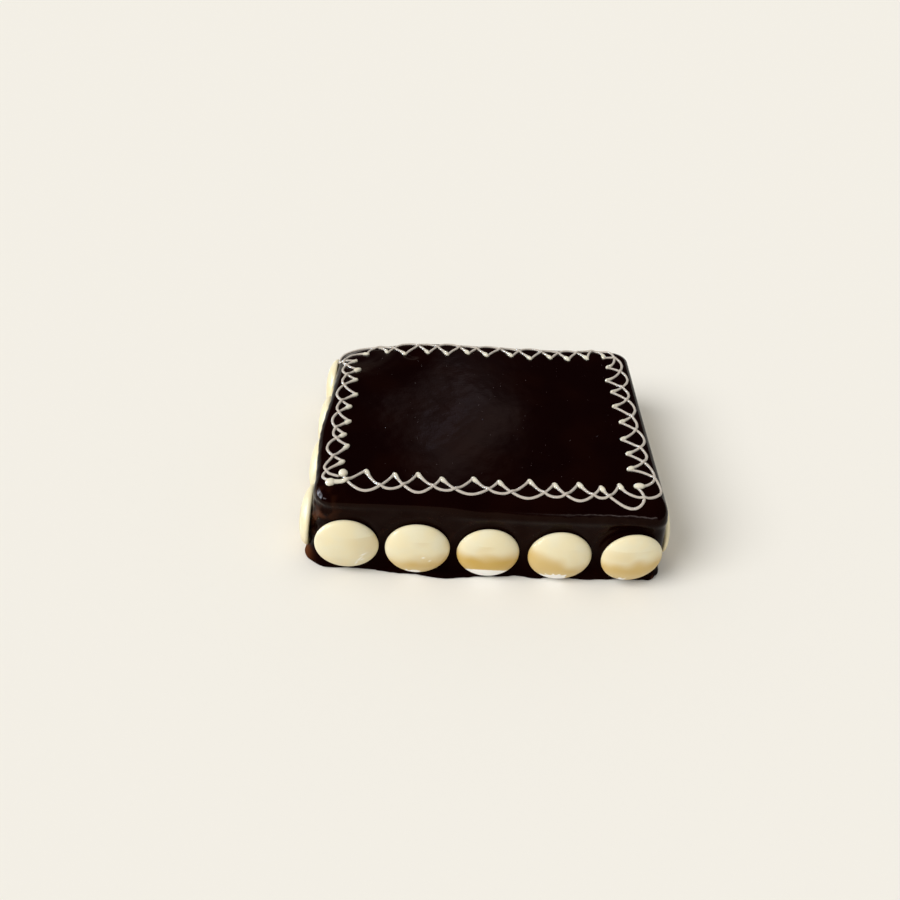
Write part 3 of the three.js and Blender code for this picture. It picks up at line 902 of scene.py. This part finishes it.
def mix_colours(tree, share, first, second):
    """A colour between two others, by a share that changes over the surface."""
    mix = add_node(tree, "Mix", data_type="RGBA")
    tree.links.new(share, mix.inputs["Factor"])
    for socket, colour in ((mix.inputs[6], first), (mix.inputs[7], second)):
        if isinstance(colour, tuple):
            socket.default_value = (*colour, 1)
        else:
            tree.links.new(colour, socket)
    return mix.outputs[2]


def rise(tree, value, low, high):
    """0 where the value is at low or past it, 1 where it is at high or past it, smooth between."""
    ramp = add_node(tree, "MapRange", interpolation_type="SMOOTHSTEP")
    tree.links.new(value, ramp.inputs["Value"])
    ramp.inputs["From Min"].default_value = low
    ramp.inputs["From Max"].default_value = high
    return ramp.outputs["Result"]


def noise_value(tree, size, detail=2.0):
    """Noise over the object, its lumps about that many millimetres across."""
    place = add_node(tree, "TexCoord").outputs["Object"]
    texture = add_node(tree, "TexNoise")
    texture.inputs["Scale"].default_value = 1 / (size * MM)
    texture.inputs["Detail"].default_value = detail
    tree.links.new(place, texture.inputs["Vector"])
    return texture.outputs["Fac"]


def add_bump(tree, shader, height, depth):
    """Fine relief in the shading, depth in millimetres."""
    bump = add_node(tree, "Bump")
    bump.inputs["Distance"].default_value = depth * MM
    bump.inputs["Strength"].default_value = 1
    tree.links.new(height, bump.inputs["Height"])
    tree.links.new(bump.outputs["Normal"], shader.inputs["Normal"])


def glaze_material():
    """Near-black mirror glaze, painted brown where the piece says so."""
    dark, warm, brown = (0.0036, 0.0005, 0.0005), (0.0055, 0.001, 0.0006), (0.11, 0.034, 0.012)
    material, tree, shader = new_material("chocolate_glaze")
    mottled = mix_colours(tree, rise(tree, noise_value(tree, 26), 0.35, 0.7), dark, warm)
    # Brown where the piece's attribute says so.
    colour = mix_colours(tree, attribute(tree, "thin"), mottled, brown)
    tree.links.new(colour, shader.inputs["Base Color"])
    shader.inputs["Roughness"].default_value = 0.08
    level = add_node(tree, "MapRange")
    level.inputs["To Max"].default_value = 0.1
    tree.links.new(attribute(tree, "sheen"), level.inputs["Value"])
    tree.links.new(level.outputs["Result"], shader.inputs["Specular IOR Level"])
    shader.inputs["Specular Tint"].default_value = (1, 0.66, 0.48, 1)
    add_bump(tree, shader, noise_value(tree, 1.6, 1), 0.012)
    return material


def icing_material():
    """Warm white icing, greyer where the glaze shows through a thin strand."""
    thin, thick = (0.53, 0.475, 0.415), (0.76, 0.71, 0.57)
    material, tree, shader = new_material("piped_icing")
    colour = mix_colours(tree, rise(tree, attribute(tree, "thick"), 0.65, 1.3), thin, thick)
    tree.links.new(colour, shader.inputs["Base Color"])
    shader.inputs["Roughness"].default_value = 0.42
    shader.inputs["Subsurface Weight"].default_value = 0.15
    shader.inputs["Subsurface Radius"].default_value = (1, 0.8, 0.6)
    shader.inputs["Subsurface Scale"].default_value = 0.0006
    return material


def speck_material():
    """The dull grey brown of the specks."""
    material, _, shader = new_material("speck")
    shader.inputs["Base Color"].default_value = (0.2, 0.17, 0.17, 1)
    shader.inputs["Roughness"].default_value = 0.5
    return material


def chocolate_material():
    """Ivory white chocolate, with painted warm shade and painted highlights where the buttons say
    so.
    """
    ivory, pale = (0.82, 0.725, 0.47), (0.8, 0.735, 0.52)
    # Colours of the painted warm shade and of the painted highlight.
    painted_warm_shade, highlight_white = (0.58, 0.365, 0.07), (0.96, 0.94, 0.9)
    material, tree, shader = new_material("white_chocolate")
    plain = mix_colours(tree, rise(tree, noise_value(tree, 9), 0.35, 0.7), ivory, pale)
    warm_shaded = mix_colours(tree, attribute(tree, "painted_warm_shade"), plain, painted_warm_shade)
    colour = mix_colours(tree, attribute(tree, "white"), warm_shaded, highlight_white)
    tree.links.new(colour, shader.inputs["Base Color"])
    shader.inputs["Roughness"].default_value = 0.38
    shader.inputs["Specular IOR Level"].default_value = 0.35
    shader.inputs["Subsurface Weight"].default_value = 0.1
    shader.inputs["Subsurface Radius"].default_value = (1, 0.8, 0.5)
    shader.inputs["Subsurface Scale"].default_value = 0.001
    add_bump(tree, shader, noise_value(tree, 2.2), 0.05)
    return material


# ---- Stage and light -----------------------------------------------------------------------


def make_stage():
    """A plain pale floor."""
    half = FLOOR_HALF * MM
    mesh = bpy.data.meshes.new("floor")
    corners = [(-half, -half, 0), (half, -half, 0), (half, half, 0), (-half, half, 0)]
    mesh.from_pydata(corners, [], [(0, 1, 2, 3)])
    floor = bpy.data.objects.new("floor", mesh)
    bpy.context.scene.collection.objects.link(floor)
    material, _, shader = new_material("pale_floor")
    shader.inputs["Base Color"].default_value = (0.885, 0.86, 0.8, 1)
    shader.inputs["Roughness"].default_value = 1
    shader.inputs["Specular IOR Level"].default_value = 0
    mesh.materials.append(material)


def product(tree, first, second):
    """Two numbers multiplied; the second may be the same everywhere."""
    times = add_node(tree, "Math", operation="MULTIPLY")
    tree.links.new(first, times.inputs[0])
    if isinstance(second, (int, float)):
        times.inputs[1].default_value = second
    else:
        tree.links.new(second, times.inputs[1])
    return times.outputs[0]


def mirrored_patch(tree, direction, place, wide, reach, strength, colour):
    """Light from one uneven patch, that many times as wide as high, which fades to its edge."""
    stretched = add_node(tree, "VectorMath", operation="MULTIPLY")
    tree.links.new(direction, stretched.inputs[0])
    stretched.inputs[1].default_value = (1, 1, wide)
    far = add_node(tree, "VectorMath", operation="DISTANCE")
    tree.links.new(stretched.outputs[0], far.inputs[0])
    middle = Vector(place).normalized()
    far.inputs[1].default_value = (middle.x, middle.y, middle.z * wide)
    near = rise(tree, far.outputs["Value"], reach, 0)
    texture = add_node(tree, "TexNoise")
    texture.inputs["Scale"].default_value = 1.2 / reach
    texture.inputs["Detail"].default_value = 4
    tree.links.new(direction, texture.inputs["Vector"])
    uneven = product(tree, near, rise(tree, texture.outputs["Fac"], 0.3, 0.68))
    background = add_node(tree, "Background")
    background.inputs["Color"].default_value = (*colour, 1)
    tree.links.new(product(tree, uneven, strength), background.inputs["Strength"])
    return background.outputs[0]


def mirrored_room(tree):
    """The dim room with its soft patches of light, as the glaze mirrors it."""
    direction = add_node(tree, "TexCoord").outputs["Generated"]
    height = add_node(tree, "SeparateXYZ")
    tree.links.new(direction, height.inputs[0])
    room = add_node(tree, "Background")
    low = rise(tree, height.outputs["Z"], 0.32, 0.02)
    tree.links.new(mix_colours(tree, low, ROOM_HIGH, ROOM_LOW), room.inputs["Color"])
    mirrored = room.outputs[0]
    for patch in MIRRORED_PATCHES:
        both = add_node(tree, "AddShader")
        tree.links.new(mirrored, both.inputs[0])
        tree.links.new(mirrored_patch(tree, direction, *patch), both.inputs[1])
        mirrored = both.outputs[0]
    return mirrored


def make_world():
    """Even studio light, and the mirrored room for what is glossy."""
    world = bpy.data.worlds.new("studio")
    bpy.context.scene.world = world
    world.use_nodes = True
    tree = world.node_tree
    tree.nodes.clear()
    output = add_node(tree, "OutputWorld")
    studio = add_node(tree, "Background")
    studio.inputs["Color"].default_value = (*STUDIO_COLOUR, 1)
    studio.inputs["Strength"].default_value = STUDIO_STRENGTH
    mix = add_node(tree, "MixShader")
    path = add_node(tree, "LightPath")
    tree.links.new(path.outputs["Is Glossy Ray"], mix.inputs[0])
    tree.links.new(studio.outputs[0], mix.inputs[1])
    tree.links.new(mirrored_room(tree), mix.inputs[2])
    tree.links.new(mix.outputs[0], output.inputs[0])


def make_key():
    """One soft sun from the left, and a little from the front, that isn't mirrored."""
    data = bpy.data.lights.new("key", "SUN")
    data.energy = KEY_STRENGTH
    data.angle = math.radians(KEY_SPREAD)
    key = bpy.data.objects.new("key", data)
    key.rotation_euler = Vector(KEY_FROM).to_track_quat("Z", "Y").to_euler()
    key.visible_glossy = False
    bpy.context.scene.collection.objects.link(key)


make_camera()
make_glaze(glaze_material())
make_icing(icing_material())
chocolate = chocolate_material()
for seed, name in enumerate(BUTTON_NAMES):
    make_button(name, seed, chocolate)
make_specks(speck_material())
make_stage()
make_world()
make_key()
bpy.context.scene.view_settings.view_transform = "Standard"
